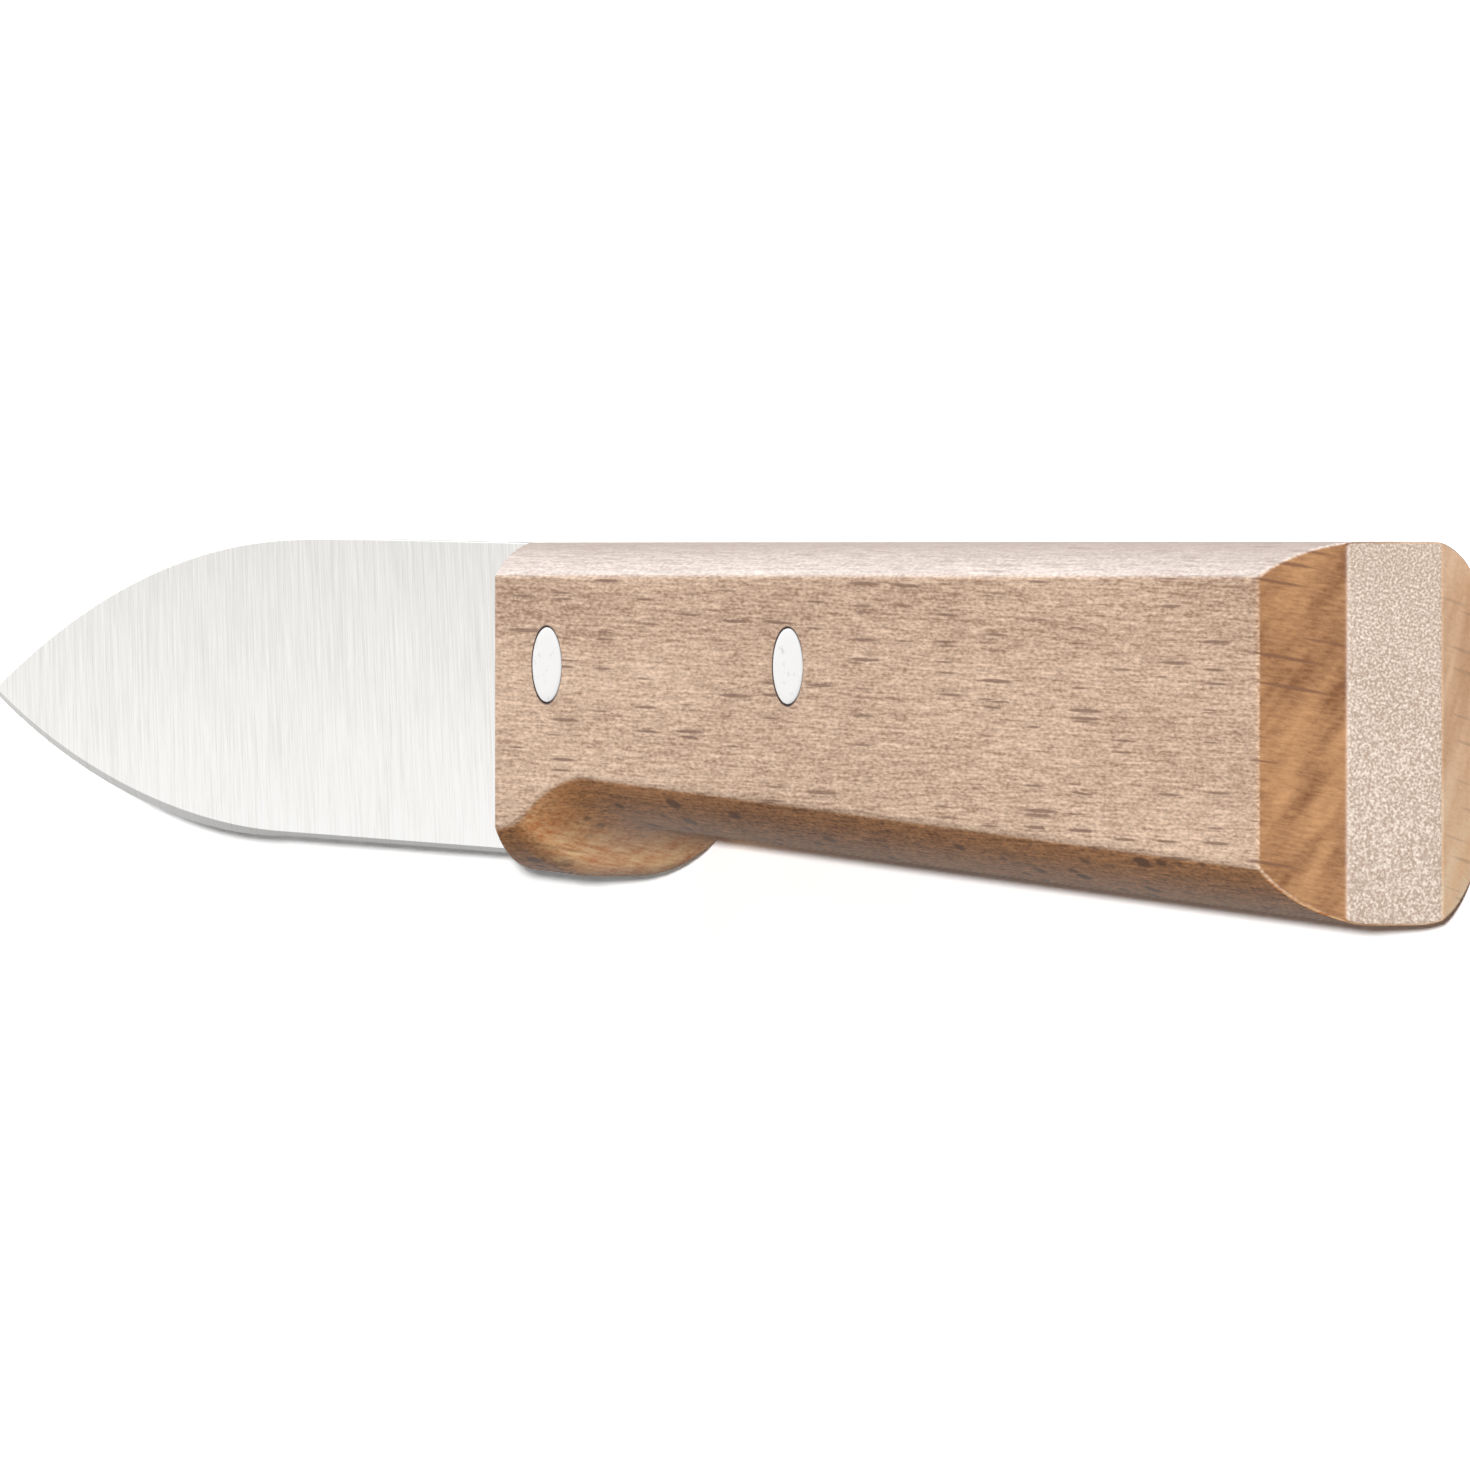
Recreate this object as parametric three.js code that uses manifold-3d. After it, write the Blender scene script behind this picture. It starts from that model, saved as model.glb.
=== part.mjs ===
// A paring knife lying on its side: a short leaf-shaped blade whose tang is let into a one-piece
// beech handle with a finger guard, and held there by two rivets ground flush with the wood.
// Millimetres. +X runs from the tip towards the butt, +Y from the cutting edge towards the spine
// and +Z up from the table. The origin is the middle of the handle's lower flat side.

import * as THREE from 'three';
import { mergeVertices } from 'three/addons/utils/BufferGeometryUtils.js';
import Module from 'manifold-3d';

// Handle
const GRIP_LENGTH = 96.4; // flat sides, between the end chamfers
const THICKNESS = 11.6; // from flat side to flat side
const SPINE_HEIGHT = 7.65; // straight top line above the origin
const FRONT_DEPTH = 13.92; // top line down to the bottom line, at the front of the flat sides
const BUTT_DEPTH = 18.41; // the same at the butt end of the flat sides
const EDGE_RADIUS = 5.5; // rounding of the long edges
const TOP_REACH = 4.0; // how far that rounding runs in from each flat side along the top
const BOTTOM_REACH = 4.7; // the same along the bottom
const CHAMFER_LENGTH = 3.4; // end chamfers, along the handle
const CHAMFER_DEPTH = 3.3; // end chamfers, in from each flat side

// Finger guard under the front of the handle
const GUARD_DROP = 2.93; // below the bottom line
const RAMP_RADIUS = 13.2; // hollow behind the guard
const RAMP_START = 11.0; // where the hollow leaves the bottom line, from the front of the flat sides

// Rivets
const RIVET_DIAMETER = 3.8;
const RIVET_INSET = 6.95; // front rivet behind the front of the flat sides
const RIVET_SPACING = 31.25;
const RIVET_DEPTH = 6.2; // below the top line
const RIVET_CLEARANCE = 0.05; // around each rivet

// Blade
const BLADE_LENGTH = 79.0; // front of the handle to the tip
const STOCK = 1.6; // thickness of the tang and of the spine at the handle
const BEHIND_EDGE = 0.3; // thickness just above the edge bevel
const EDGE_LAND = 0.04; // thickness of the cutting edge itself
const HEEL_DEPTH = 16.07; // top line down to the edge at the handle
const BELLY_DEPTH = 15.22; // the same where the edge starts to curve up
const SPINE_STRAIGHT = 38.5; // the spine runs straight this far from the handle
const EDGE_STRAIGHT = 43.0; // and the edge this far
const TIP_DROP = 7.83; // tip below the top line
const TIP_BLUNT = 0.4; // height of the tip itself
const SPINE_TIP_ANGLE = 19.0; // degrees, fall of the spine at the tip
const EDGE_TIP_ANGLE = 24.3; // degrees, rise of the edge at the tip
const SPINE_EASE = 6.0; // how far the spine's straight stretch still guides its curve
const SPINE_TIP_EASE = 19.85; // how far back the tip angle guides it
const EDGE_EASE = 13.5; // the same two for the cutting edge
const EDGE_TIP_EASE = 6.0;
const BEVEL_HEEL = 0.28; // height of the edge bevel at the handle
const BEVEL_TIP = 0.46; // the same from the belly to the tip
const RICASSO = 1.5; // left at full stock in front of the handle
const PLUNGE = 5.0; // over which the grind runs out

// Tang
const TANG_HEIGHT = 9.0;
const TANG_END_HEIGHT = 7.0;
const TANG_PAST_RIVET = 8.0; // behind the rear rivet
const TANG_CORNER = 2.0;
const TANG_CLEARANCE = 0.1; // around the tang in its mortise, and between shoulders and handle

// Fineness of the curved faces
const EDGE_STEPS = 10;
const RAMP_STEPS = 14;
const BLADE_STEPS = 44;
const PLUNGE_STEPS = 6;
const ROUND_SIDES = 48;

const OVERSHOOT = 1.0; // how far a cutter or a joined root runs past the face that it meets

const wasm = await Module();
wasm.setup();

const gripFront = -GRIP_LENGTH / 2;
const gripBack = GRIP_LENGTH / 2;
const handleFront = gripFront - CHAMFER_LENGTH;
const midPlane = THICKNESS / 2;
const heelX = handleFront - TANG_CLEARANCE;
const rivetY = SPINE_HEIGHT - RIVET_DEPTH;
const rivetXs = [gripFront + RIVET_INSET, gripFront + RIVET_INSET + RIVET_SPACING];

// Joins a stack of outlines with equal numbers of points into one closed body. flatten gives an
// outline's points in the plane of the two end caps.
function loft(rings, flatten) {
  const count = rings[0].length;
  const positions = rings.flat().flatMap((point) => [point.x, point.y, point.z]);
  const triangles = [];
  for (let ring = 0; ring + 1 < rings.length; ring += 1) {
    for (let side = 0; side < count; side += 1) {
      const next = (side + 1) % count;
      const a = ring * count + side;
      const b = ring * count + next;
      triangles.push([a, b, b + count], [a, b + count, a + count]);
    }
  }
  const last = (rings.length - 1) * count;
  const capOf = (ring) => THREE.ShapeUtils.triangulateShape(ring.map(flatten), []);
  capOf(rings[0]).forEach(([a, b, c]) => triangles.push([a, c, b]));
  capOf(rings.at(-1)).forEach(([a, b, c]) => triangles.push([last + a, last + b, last + c]));
  const geometry = new THREE.BufferGeometry();
  geometry.setAttribute('position', new THREE.Float32BufferAttribute(positions, 3));
  geometry.setIndex(triangles.flat());
  return geometry;
}

function toSolid(geometry) {
  const bare = geometry.clone();
  bare.deleteAttribute('normal');
  bare.deleteAttribute('uv');
  const merged = mergeVertices(bare);
  return new wasm.Manifold(new wasm.Mesh({
    numProp: 3,
    vertProperties: new Float32Array(merged.attributes.position.array),
    triVerts: new Uint32Array(merged.index.array),
  }));
}

function toGeometry(solid) {
  const mesh = solid.getMesh();
  const geometry = new THREE.BufferGeometry();
  geometry.setAttribute('position', new THREE.BufferAttribute(new Float32Array(mesh.vertProperties), 3));
  geometry.setIndex(new THREE.BufferAttribute(new Uint32Array(mesh.triVerts), 1));
  geometry.computeVertexNormals();
  return geometry;
}

// A round bar across the knife at a rivet's place.
function crossBar(diameter, length, x) {
  const bar = new THREE.CylinderGeometry(diameter / 2, diameter / 2, length, ROUND_SIDES);
  bar.rotateX(Math.PI / 2);
  bar.translate(x, rivetY, midPlane);
  return bar;
}

function drillRivetHoles(solid) {
  const holeDiameter = RIVET_DIAMETER + 2 * RIVET_CLEARANCE;
  const drillLength = THICKNESS + 2 * OVERSHOOT;
  return rivetXs.reduce((body, x) => body.subtract(toSolid(crossBar(holeDiameter, drillLength, x))), solid);
}

// The tang's outline grown by a clearance, standing on edge in the knife's mid-plane. It runs from
// startX to behind the rear rivet, narrows a little and has rounded corners at its end.
function tangBody(startX, clearance) {
  const endX = rivetXs[1] + TANG_PAST_RIVET + clearance;
  const front = TANG_HEIGHT / 2 + clearance;
  const end = TANG_END_HEIGHT / 2 + clearance;
  const corner = TANG_CORNER + clearance;
  const shape = new THREE.Shape();
  shape.moveTo(startX, -front);
  shape.lineTo(handleFront, -front);
  shape.lineTo(endX - corner, -end);
  shape.quadraticCurveTo(endX, -end, endX, -end + corner);
  shape.lineTo(endX, end - corner);
  shape.quadraticCurveTo(endX, end, endX - corner, end);
  shape.lineTo(handleFront, front);
  shape.lineTo(startX, front);
  const depth = STOCK + 2 * clearance;
  const body = new THREE.ExtrudeGeometry(shape, { depth, bevelEnabled: false, curveSegments: 8 });
  body.translate(0, rivetY, midPlane - depth / 2);
  return body;
}

// Fall of a rounded long edge at a distance in from the flat side.
function edgeFall(inset, reach) {
  const short = Math.max(reach - inset, 0);
  return EDGE_RADIUS - Math.sqrt(EDGE_RADIUS ** 2 - short ** 2);
}

// The handle's side outline at a distance in from the flat side: the rounding follows the top line,
// the bottom line, the hollow and the guard alike, and the ends come forward along their chamfers.
function handleOutline(inset) {
  const along = new THREE.Vector2(GRIP_LENGTH, FRONT_DEPTH - BUTT_DEPTH).normalize();
  const outward = new THREE.Vector2(along.y, -along.x);
  const lineStart = new THREE.Vector2(gripFront, SPINE_HEIGHT - FRONT_DEPTH);
  const fall = edgeFall(inset, BOTTOM_REACH);
  const chamfer = Math.min(inset / CHAMFER_DEPTH, 1) * CHAMFER_LENGTH;
  const frontX = gripFront - chamfer;
  const backX = gripBack + chamfer;
  const topY = SPINE_HEIGHT - edgeFall(inset, TOP_REACH);

  const bottomAt = (x, drop) => {
    const start = lineStart.clone().addScaledVector(outward, drop);
    return new THREE.Vector2(x, start.y + ((x - start.x) * along.y) / along.x);
  };
  const centre = lineStart.clone().addScaledVector(along, RAMP_START).addScaledVector(outward, RAMP_RADIUS);
  const radius = RAMP_RADIUS + fall;
  const sweep = Math.acos((radius - GUARD_DROP) / radius);
  const ramp = Array.from({ length: RAMP_STEPS + 1 }, (_, step) => {
    const turn = sweep * (1 - step / RAMP_STEPS);
    return centre.clone()
      .addScaledVector(outward, -radius * Math.cos(turn))
      .addScaledVector(along, -radius * Math.sin(turn));
  });
  return [
    new THREE.Vector2(frontX, topY),
    bottomAt(frontX, GUARD_DROP - fall),
    ...ramp,
    bottomAt(backX, -fall),
    new THREE.Vector2(backX, topY),
  ];
}

function makeHandle() {
  const widest = Math.asin(BOTTOM_REACH / EDGE_RADIUS);
  const rounded = Array.from({ length: EDGE_STEPS + 1 }, (_, step) => (
    BOTTOM_REACH - EDGE_RADIUS * Math.sin(widest * (1 - step / EDGE_STEPS))
  ));
  const insets = [...rounded, TOP_REACH, CHAMFER_DEPTH].sort((a, b) => a - b);
  const levels = [
    ...insets.map((inset) => ({ inset, z: inset })),
    ...insets.toReversed().map((inset) => ({ inset, z: THICKNESS - inset })),
  ];
  const rings = levels.map(({ inset, z }) => (
    handleOutline(inset).map((point) => new THREE.Vector3(point.x, point.y, z))
  ));
  const body = toSolid(loft(rings, (point) => new THREE.Vector2(point.x, point.y)));
  const mortise = toSolid(tangBody(handleFront - OVERSHOOT, TANG_CLEARANCE));
  return toGeometry(drillRivetHoles(body.subtract(mortise)));
}

// Spine and edge from the end of their straight stretch to the tip, measured from the heel towards
// the tip and from the top line down.
function bladeCurves() {
  const tipTop = new THREE.Vector2(BLADE_LENGTH, TIP_DROP - TIP_BLUNT / 2);
  const tipBottom = new THREE.Vector2(BLADE_LENGTH, TIP_DROP + TIP_BLUNT / 2);
  const spineStart = new THREE.Vector2(SPINE_STRAIGHT, 0);
  const edgeStart = new THREE.Vector2(EDGE_STRAIGHT, BELLY_DEPTH);
  const edgeRun = new THREE.Vector2(EDGE_STRAIGHT, BELLY_DEPTH - HEEL_DEPTH).normalize();
  const spineFall = THREE.MathUtils.degToRad(SPINE_TIP_ANGLE);
  const edgeRise = THREE.MathUtils.degToRad(EDGE_TIP_ANGLE);
  const backFrom = (tip, angle, length) => (
    new THREE.Vector2(tip.x - length * Math.cos(angle), tip.y - length * Math.sin(angle))
  );
  return {
    spine: new THREE.CubicBezierCurve(
      spineStart,
      new THREE.Vector2(SPINE_STRAIGHT + SPINE_EASE, 0),
      backFrom(tipTop, spineFall, SPINE_TIP_EASE),
      tipTop,
    ),
    edge: new THREE.CubicBezierCurve(
      edgeStart,
      edgeStart.clone().addScaledVector(edgeRun, EDGE_EASE),
      backFrom(tipBottom, -edgeRise, EDGE_TIP_EASE),
      tipBottom,
    ),
  };
}

// Depth of a curve below the top line at a distance from the heel, found by halving.
function depthAt(curve, distance) {
  let low = 0;
  let high = 1;
  for (let pass = 0; pass < 40; pass += 1) {
    const middle = (low + high) / 2;
    if (curve.getPoint(middle).x < distance) low = middle;
    else high = middle;
  }
  return curve.getPoint(high).y;
}

// One cross-section of the blade: flat-ground from the spine to the edge bevel, except at the heel,
// where the grind runs out to the full stock.
function bladeSection(distance, curves) {
  const share = Math.min(distance / EDGE_STRAIGHT, 1);
  const spineDepth = distance < SPINE_STRAIGHT ? 0 : depthAt(curves.spine, distance);
  const edgeDepth = share < 1
    ? THREE.MathUtils.lerp(HEEL_DEPTH, BELLY_DEPTH, share)
    : depthAt(curves.edge, distance);
  const height = edgeDepth - spineDepth;
  const bevel = Math.min(THREE.MathUtils.lerp(BEVEL_HEEL, BEVEL_TIP, share), height / 2);
  const ground = THREE.MathUtils.smoothstep(distance, RICASSO, RICASSO + PLUNGE);
  const spineHalf = THREE.MathUtils.lerp(BEHIND_EDGE, STOCK, Math.min(height / HEEL_DEPTH, 1)) / 2;
  const shoulderHalf = THREE.MathUtils.lerp(STOCK, BEHIND_EDGE, ground) / 2;
  const edgeHalf = THREE.MathUtils.lerp(STOCK, EDGE_LAND, ground) / 2;
  const at = (depth, half) => new THREE.Vector3(heelX - distance, SPINE_HEIGHT - depth, midPlane - half);
  return [
    at(spineDepth, spineHalf),
    at(edgeDepth - bevel, shoulderHalf),
    at(edgeDepth, edgeHalf),
    at(edgeDepth, -edgeHalf),
    at(edgeDepth - bevel, -shoulderHalf),
    at(spineDepth, -spineHalf),
  ];
}

function makeBlade() {
  const curves = bladeCurves();
  const length = BLADE_LENGTH - TANG_CLEARANCE;
  const distances = Array.from({ length: BLADE_STEPS + 1 }, (_, step) => (length * step) / BLADE_STEPS);
  const grind = Array.from({ length: PLUNGE_STEPS + 1 }, (_, step) => (
    RICASSO + (PLUNGE * step) / PLUNGE_STEPS
  ));
  const stations = [...distances, ...grind, SPINE_STRAIGHT, EDGE_STRAIGHT].sort((a, b) => a - b);
  const rings = [...new Set(stations)].map((distance) => bladeSection(distance, curves));
  const body = toSolid(loft(rings, (point) => new THREE.Vector2(point.z, point.y)));
  const tang = toSolid(tangBody(heelX - OVERSHOOT, 0));
  return toGeometry(drillRivetHoles(body.add(tang)));
}

function makeRivet(x) {
  const pin = new THREE.CylinderGeometry(RIVET_DIAMETER / 2, RIVET_DIAMETER / 2, THICKNESS, ROUND_SIDES);
  const mesh = new THREE.Mesh(pin, aluminium);
  mesh.rotation.x = Math.PI / 2;
  mesh.position.set(x, rivetY, midPlane);
  return mesh;
}

const beech = new THREE.MeshStandardMaterial({ color: '#c8a584', roughness: 0.55, metalness: 0 });
const steel = new THREE.MeshStandardMaterial({ color: '#e3e2de', roughness: 0.35, metalness: 1 });
const aluminium = new THREE.MeshStandardMaterial({ color: '#e6e6e4', roughness: 0.3, metalness: 1 });

const knife = new THREE.Group();

const handle = new THREE.Mesh(makeHandle(), beech);
handle.name = 'handle';
knife.add(handle);

const blade = new THREE.Mesh(makeBlade(), steel);
blade.name = 'blade';
knife.add(blade);

['rivet_front', 'rivet_rear'].forEach((name, index) => {
  const rivet = makeRivet(rivetXs[index]);
  rivet.name = name;
  knife.add(rivet);
});

export default knife;
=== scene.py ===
# %% [markdown]
# # A paring knife with a beech handle
# The knife lies on its side: +X runs from the tip to the butt, +Y from the cutting edge to the spine
# and +Z up from the table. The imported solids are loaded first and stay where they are. Each one is then
# replaced by a finer piece of the same size, because softened edges and a finish are what the eye
# reads as wood and steel.

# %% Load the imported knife
import math

import bmesh
import bpy
from mathutils import Matrix, Vector


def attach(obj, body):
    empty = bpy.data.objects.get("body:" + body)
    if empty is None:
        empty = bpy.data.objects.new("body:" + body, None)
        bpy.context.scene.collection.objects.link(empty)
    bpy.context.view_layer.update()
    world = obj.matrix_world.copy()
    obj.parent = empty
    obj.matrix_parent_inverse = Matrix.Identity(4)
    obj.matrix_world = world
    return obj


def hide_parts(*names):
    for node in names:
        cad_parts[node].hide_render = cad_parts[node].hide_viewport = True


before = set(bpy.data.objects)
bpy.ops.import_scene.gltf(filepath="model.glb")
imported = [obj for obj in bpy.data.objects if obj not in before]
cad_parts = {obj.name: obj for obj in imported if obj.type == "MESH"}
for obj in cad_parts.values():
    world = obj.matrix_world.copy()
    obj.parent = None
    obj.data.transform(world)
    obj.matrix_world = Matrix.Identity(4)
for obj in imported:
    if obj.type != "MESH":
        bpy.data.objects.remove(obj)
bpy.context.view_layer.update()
MM = 0.001
print("solids:", sorted(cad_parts))

# %% [markdown]
# An operator acts on whatever is selected, so every step starts by selecting nothing. Two helpers do
# what a modeller does with the mouse: one picks faces or edges by a rule, the other saws the mesh with
# a plane and keeps one side.

# %% Helpers for working as by hand
SELECT_MODES = {"edges": "EDGE", "faces": "FACE"}
SAW_SNAP = 0.0001 * MM


def select_only(piece):
    bpy.ops.object.select_all(action="DESELECT")
    piece.select_set(True)
    bpy.context.view_layer.objects.active = piece


def start_piece(name):
    piece = bpy.context.object
    piece.name = name
    piece.data.name = name
    select_only(piece)
    bpy.ops.object.transform_apply(location=True, rotation=True, scale=True)
    return piece


def pick(kind, rule):
    bpy.ops.mesh.select_mode(type=SELECT_MODES[kind])
    bpy.ops.mesh.select_all(action="DESELECT")
    mesh = bmesh.from_edit_mesh(bpy.context.object.data)
    chosen = [item for item in getattr(mesh, kind) if rule(item)]
    for item in chosen:
        item.select_set(True)
    mesh.select_flush_mode()
    bmesh.update_edit_mesh(bpy.context.object.data)
    return len(chosen)


def saw(point, normal, fill=True, keep_both=False):
    bpy.ops.mesh.select_all(action="SELECT")
    bpy.ops.mesh.bisect(
        plane_co=point, plane_no=normal, use_fill=fill, clear_outer=not keep_both, threshold=SAW_SNAP
    )


def edit():
    bpy.ops.object.mode_set(mode="EDIT")
    bpy.ops.mesh.select_mode(type="VERT")
    bpy.ops.mesh.select_all(action="DESELECT")


def leave_edit():
    bpy.ops.object.mode_set(mode="OBJECT")


def apply_modifier(piece, kind, **settings):
    select_only(piece)
    made = piece.modifiers.new(kind.lower(), kind)
    for name, value in settings.items():
        setattr(made, name, value)
    bpy.ops.object.modifier_apply(modifier=made.name)


print("modelling helpers ready")

# %% [markdown]
# The handle is one bar of beech. Its long edges are rounded with a 5.5 mm radius, but its sides are
# then planed flat, so the rounding doesn't run out softly into them: it stops at a crease. A plain
# bevel can't give that. A woodworker's order does: leave the bar too thick, round it, plane it down.
# The top and the bottom need different thickness to start from, so the bar is planed twice.

# %% Handle: a bar left too thick
GRIP_LENGTH = 96.4 * MM
THICKNESS = 11.6 * MM
SPINE_HEIGHT = 7.65 * MM
FRONT_DEPTH = 13.92 * MM
BUTT_DEPTH = 18.41 * MM
EDGE_RADIUS = 5.5 * MM
TOP_REACH = 4.0 * MM
BOTTOM_REACH = 4.7 * MM
CHAMFER_LENGTH = 3.4 * MM
CHAMFER_DEPTH = 3.3 * MM
BAR_BOTTOM = -14.0 * MM
SPARE_END = 2.0 * MM
MID_PLANE = THICKNESS / 2
GRIP_END = GRIP_LENGTH / 2
HANDLE_END = GRIP_END + CHAMFER_LENGTH

spare_top = EDGE_RADIUS - TOP_REACH
spare_bottom = EDGE_RADIUS - BOTTOM_REACH
bar_height = SPINE_HEIGHT - BAR_BOTTOM
bpy.ops.object.select_all(action="DESELECT")
bpy.ops.mesh.primitive_cube_add(
    size=1.0,
    location=(0.0, SPINE_HEIGHT - bar_height / 2, MID_PLANE),
    scale=(2 * (HANDLE_END + SPARE_END), bar_height, THICKNESS + 2 * spare_top),
)
handle = start_piece("beech_handle")
print("bar:", tuple(round(size / MM, 2) for size in handle.dimensions), "mm")

# %% [markdown]
# The bottom line falls a little towards the butt. The finger guard hangs from its front end: it is
# pulled down, its back is leaned over, and then both turns are rounded by a bevel. The hollow is part
# of a 13.2 mm circle. The crest of the guard turns with a slightly larger radius than the long edges
# will have, so that their rounding can run along it without folding over. The lean makes the two arcs
# meet without a corner.

# %% Handle: sloping bottom line, hollow and guard
GUARD_DROP = 2.93 * MM
RAMP_RADIUS = 13.2 * MM
RAMP_START = 11.9 * MM
CREST_RADIUS = 5.8 * MM
RAMP_STEPS = 24
CREST_STEPS = 16
FLAT_BETWEEN = 0.05 * MM
TOUCHING = 0.001 * MM
SQUARE_ON = 0.99
FLAT_ANGLE = math.radians(0.1)

along = Vector((GRIP_LENGTH, FRONT_DEPTH - BUTT_DEPTH, 0.0)).normalized()
down = Vector((along.y, -along.x, 0.0))
line_start = Vector((-GRIP_END, SPINE_HEIGHT - FRONT_DEPTH, MID_PLANE))
lean = math.acos(1.0 - GUARD_DROP / (RAMP_RADIUS + CREST_RADIUS))
hollow_reach = RAMP_RADIUS * math.tan(lean / 2)
crest_reach = CREST_RADIUS * math.tan(lean / 2)
corner = line_start + along * (RAMP_START - hollow_reach)
below_corner = corner + down * GUARD_DROP
crest = below_corner - along * GUARD_DROP / math.tan(lean)


def under_the_front(face):
    return face.normal.dot(down) > SQUARE_ON and (face.calc_center_median() - corner).dot(along) < 0


def across_at(place):
    return lambda edge: all(
        abs((vert.co - place).dot(axis)) < TOUCHING for vert in edge.verts for axis in (along, down)
    )


edit()
saw(line_start, down)
saw(corner, along, fill=False, keep_both=True)
pick("faces", under_the_front)
bpy.ops.mesh.extrude_region_move(TRANSFORM_OT_translate={"value": down * GUARD_DROP})
pick("edges", across_at(below_corner))
bpy.ops.transform.translate(value=crest - below_corner)
pick("edges", across_at(corner))
bpy.ops.mesh.bevel(offset=hollow_reach, segments=RAMP_STEPS, profile=0.5, clamp_overlap=False)
pick("edges", across_at(crest))
bpy.ops.mesh.bevel(
    offset=crest_reach - FLAT_BETWEEN, segments=CREST_STEPS, profile=0.5, clamp_overlap=False
)
bpy.ops.mesh.select_all(action="SELECT")
bpy.ops.mesh.dissolve_limited(angle_limit=FLAT_ANGLE)
leave_edit()
print("hollow and guard:", len(handle.data.vertices), "points")

# %% [markdown]
# One bevel of the whole bar would round top and bottom alike. So the top edges are rounded first, the
# sides are planed part of the way, the bottom edges are rounded, and the sides are planed to their
# thickness. Each rounding is cut off at its own height and leaves its own crease.

# %% Handle: round the top, plane, round the bottom, plane again
TOP_STEPS = 25
BOTTOM_STEPS = 18
LEVEL = Vector((0.0, 0.0, 1.0))
EDGE_ON = 0.01
TURNED_THAT_WAY = 0.5


def plane_sides(spare):
    saw((0.0, 0.0, THICKNESS + spare), LEVEL)
    saw((0.0, 0.0, -spare), -LEVEL)


def long_edge(edge, toward):
    normals = [face.normal for face in edge.link_faces]
    if len(normals) < 2:
        return False
    side = max(normals, key=lambda normal: abs(normal.z))
    other = min(normals, key=lambda normal: abs(normal.z))
    return abs(side.z) > SQUARE_ON and abs(other.z) < EDGE_ON and other.y * toward > TURNED_THAT_WAY


def round_long_edges(toward, steps):
    count = pick("edges", lambda edge: long_edge(edge, toward))
    bpy.ops.mesh.bevel(offset=EDGE_RADIUS, segments=steps, profile=0.5, clamp_overlap=False)
    return count


edit()
top_count = round_long_edges(1, TOP_STEPS)
plane_sides(spare_bottom)
bottom_count = round_long_edges(-1, BOTTOM_STEPS)
plane_sides(0.0)
leave_edit()
print("rounded edges:", top_count, "on top,", bottom_count, "below")

# %% [markdown]
# Both ends are chamfered across the thickness. Sanding then takes the sharpness off every crease, which
# a narrow bevel modifier does for all of them at once: it only acts where two faces meet at an angle.

# %% Handle: end chamfers and softened creases
MERGE = 0.03 * MM
CREASE_SOFTENING = 0.22 * MM
CREASE_ANGLE = math.radians(30)
NEARLY_FLAT = math.radians(0.3)

edit()
for end in (-1, 1):
    saw((end * HANDLE_END, 0.0, 0.0), (end, 0.0, 0.0))
    for side in (-1, 1):
        chamfer_start = (end * GRIP_END, 0.0, MID_PLANE + side * MID_PLANE)
        saw(chamfer_start, (end * CHAMFER_DEPTH, 0.0, side * CHAMFER_LENGTH))
bpy.ops.mesh.select_all(action="SELECT")
bpy.ops.mesh.remove_doubles(threshold=MERGE)
bpy.ops.mesh.dissolve_limited(angle_limit=NEARLY_FLAT)
bpy.ops.mesh.normals_make_consistent(inside=False)
leave_edit()
apply_modifier(
    handle,
    "BEVEL",
    width=CREASE_SOFTENING,
    segments=3,
    limit_method="ANGLE",
    angle_limit=CREASE_ANGLE,
    use_clamp_overlap=False,
)
print("handle:", tuple(round(size / MM, 2) for size in handle.dimensions), "mm")

# %% [markdown]
# The rivets are aluminium pins, pressed through handle and tang and ground flush with the wood. A plain
# cylinder would do from afar, but its ends would catch the light all at once. Two shallow insets crown
# them very slightly, as a ground and sanded soft metal is. One rivet is modelled and copied.

# %% Rivets
RIVET_DIAMETER = 3.8 * MM
RIVET_INSET = 6.95 * MM
RIVET_SPACING = 31.25 * MM
RIVET_DEPTH = 6.2 * MM
RIVET_CLEARANCE = 0.05 * MM
RIVET_RIM = 0.05 * MM
CROWN_RINGS = (0.45 * MM, 0.5 * MM)
CROWN_STEP = 0.004 * MM
ROUND_SIDES = 72
rivet_y = SPINE_HEIGHT - RIVET_DEPTH
rivet_xs = (-GRIP_END + RIVET_INSET, -GRIP_END + RIVET_INSET + RIVET_SPACING)


def add_pin(name, diameter, length, x):
    bpy.ops.object.select_all(action="DESELECT")
    bpy.ops.mesh.primitive_cylinder_add(
        vertices=ROUND_SIDES,
        radius=diameter / 2,
        depth=length,
        location=(x, rivet_y, MID_PLANE),
    )
    return start_piece(name)


rivet_front = add_pin("aluminium_rivet_front", RIVET_DIAMETER, THICKNESS, rivet_xs[0])
edit()
pick("edges", lambda edge: len({round(vert.co.z, 6) for vert in edge.verts}) == 1)
bpy.ops.mesh.bevel(offset=RIVET_RIM, segments=3, profile=0.5)
for ring in CROWN_RINGS:
    pick("faces", lambda face: abs(face.normal.z) > SQUARE_ON and len(face.verts) > 4)
    bpy.ops.mesh.inset(thickness=ring, depth=CROWN_STEP)
leave_edit()

select_only(rivet_front)
bpy.ops.object.duplicate(linked=False)
rivet_rear = bpy.context.object
rivet_rear.name = "aluminium_rivet_rear"
rivet_rear.data.name = "aluminium_rivet_rear"
bpy.ops.transform.translate(value=(RIVET_SPACING, 0.0, 0.0))
bpy.ops.object.transform_apply(location=True, rotation=True, scale=True)
print("rivets at x =", [round(x / MM, 2) for x in rivet_xs], "mm")

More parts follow.
